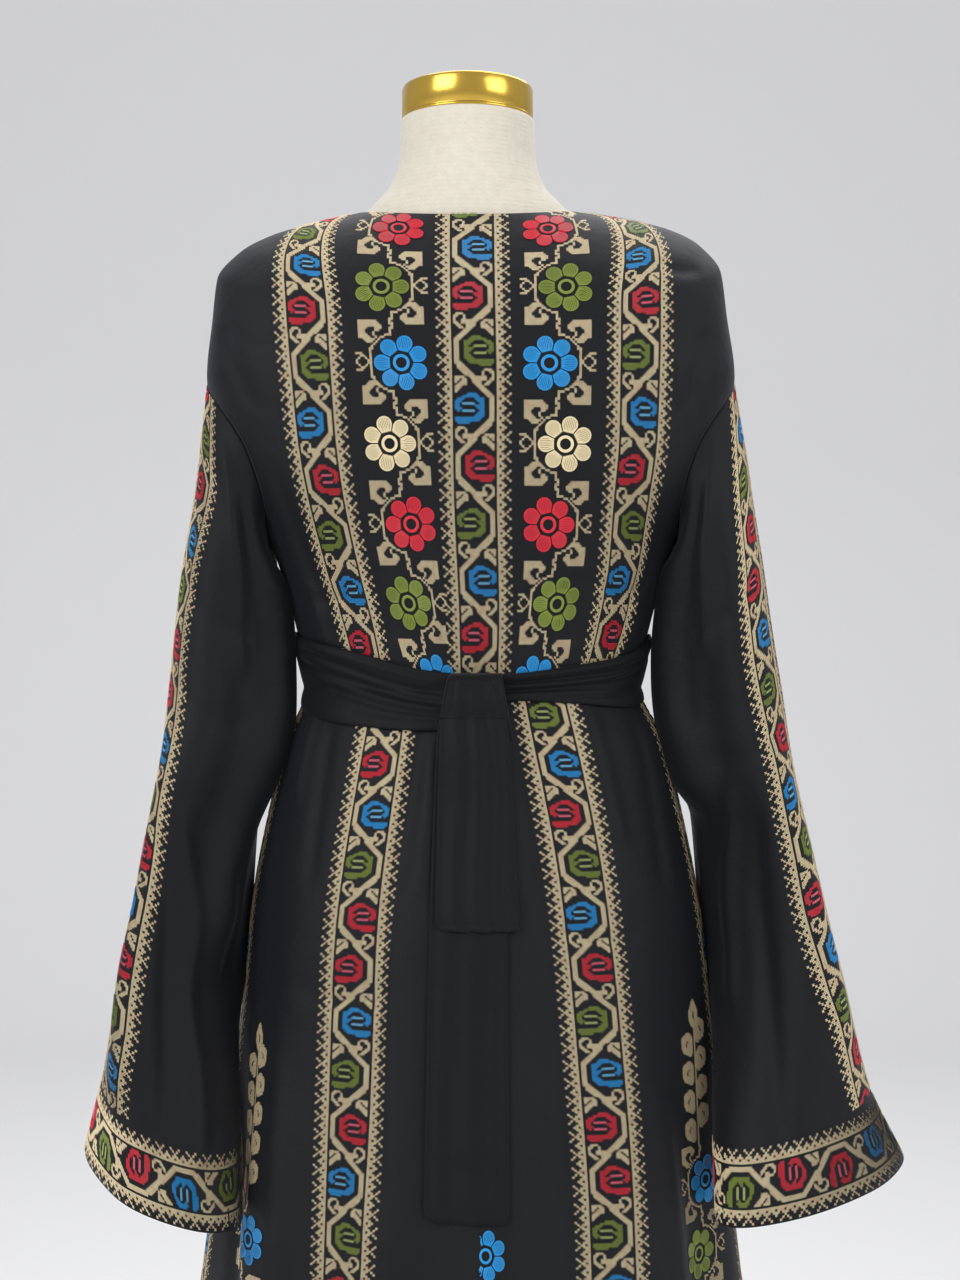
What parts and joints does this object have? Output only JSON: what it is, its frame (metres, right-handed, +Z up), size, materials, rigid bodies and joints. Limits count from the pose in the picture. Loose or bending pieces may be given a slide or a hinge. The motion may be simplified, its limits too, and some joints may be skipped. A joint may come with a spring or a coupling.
{
  "type": "thobe on limbless dress form",
  "caption": "Long black embroidered thobe with bell sleeves and a sash tied at the back, worn by a limbless dress form on a round base.",
  "frame": {"origin": "centre of the base's underside, on the floor", "axes": "+Z up, the garment's back faces -Y, +X to the right of somebody who looks at that back"},
  "size_m": [0.6514, 0.4914, 1.5293],
  "materials": {
    "crepe": "matt black crepe with a soft sheen",
    "sash_crepe": "matt black crepe",
    "linen": "plain linen weave stretched over the form",
    "gold_metal": "polished gold-coloured plating",
    "cream_thread": "cream embroidery thread",
    "red_thread": "red embroidery thread",
    "blue_thread": "blue embroidery thread",
    "green_thread": "olive green embroidery thread"
  },
  "bodies": {
    "root": {"bodice_back": "crepe", "bodice_front": "crepe", "sleeve_left": "crepe", "sleeve_right": "crepe", "skirt_back": "crepe", "skirt_front": "crepe", "sash_wrap": "sash_crepe", "sash_knot": "sash_crepe", "sash_tail_long": "sash_crepe", "sash_tail_short": "sash_crepe", "form_torso": "linen", "form_cap": "gold_metal", "form_pole": "gold_metal", "form_base": "gold_metal"}
  },
  "joints": []
}
